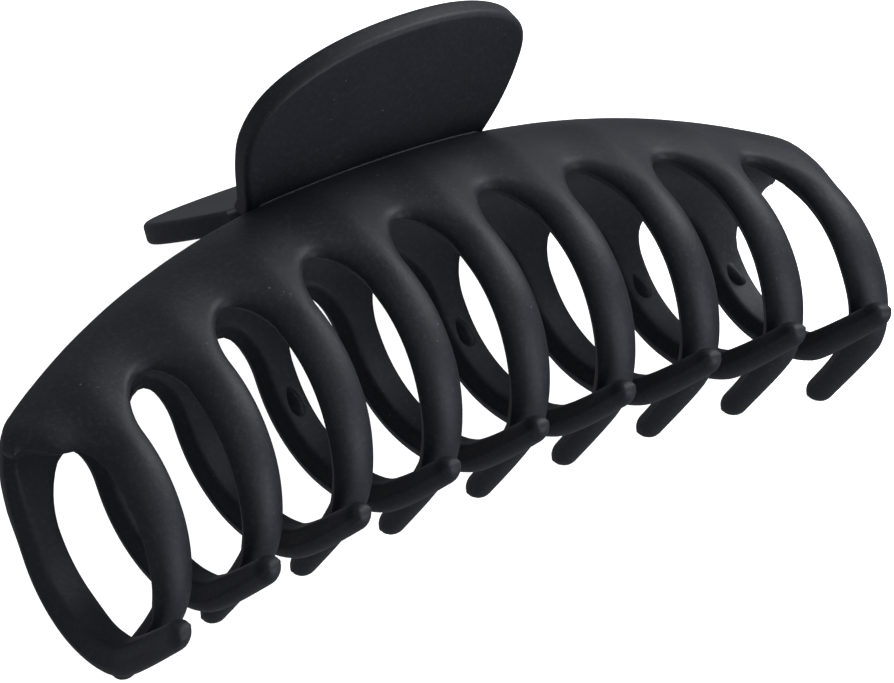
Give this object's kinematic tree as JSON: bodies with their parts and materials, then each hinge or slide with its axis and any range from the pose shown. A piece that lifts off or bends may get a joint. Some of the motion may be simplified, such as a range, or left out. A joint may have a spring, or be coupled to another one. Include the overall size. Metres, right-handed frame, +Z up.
{
  "type": "claw clip",
  "caption": "Matte black claw clip for hair: two curved toothed jaws with thumb tabs on a spring-loaded hinge pin, lying closed.",
  "frame": {"origin": "centre of the closed clip's bounding box, on the surface that it lies on", "axes": "+X along the clip and its hinge pin, +Y towards the thumb tabs, +Z up, out of the front jaw"},
  "size_m": [0.1138, 0.0564, 0.0441],
  "materials": {
    "matte_black_plastic": "matte",
    "spring_steel": "satin"
  },
  "bodies": {
    "rear": {"rear_jaw": "matte_black_plastic", "hinge_pin": "spring_steel", "torsion_spring": "spring_steel"},
    "front": {"front_jaw": "matte_black_plastic"}
  },
  "joints": [
    {"name": "jaw_hinge", "type": "hinge", "parent": "rear", "child": "front", "pos_m": [0, 0.0151, 0.02052], "axis": [-1, 0, 0], "range_deg": [0, 75], "stiffness_Nm_per_rad": 0.12, "springref_deg": -45.84, "deforming": ["torsion_spring"]}
  ]
}
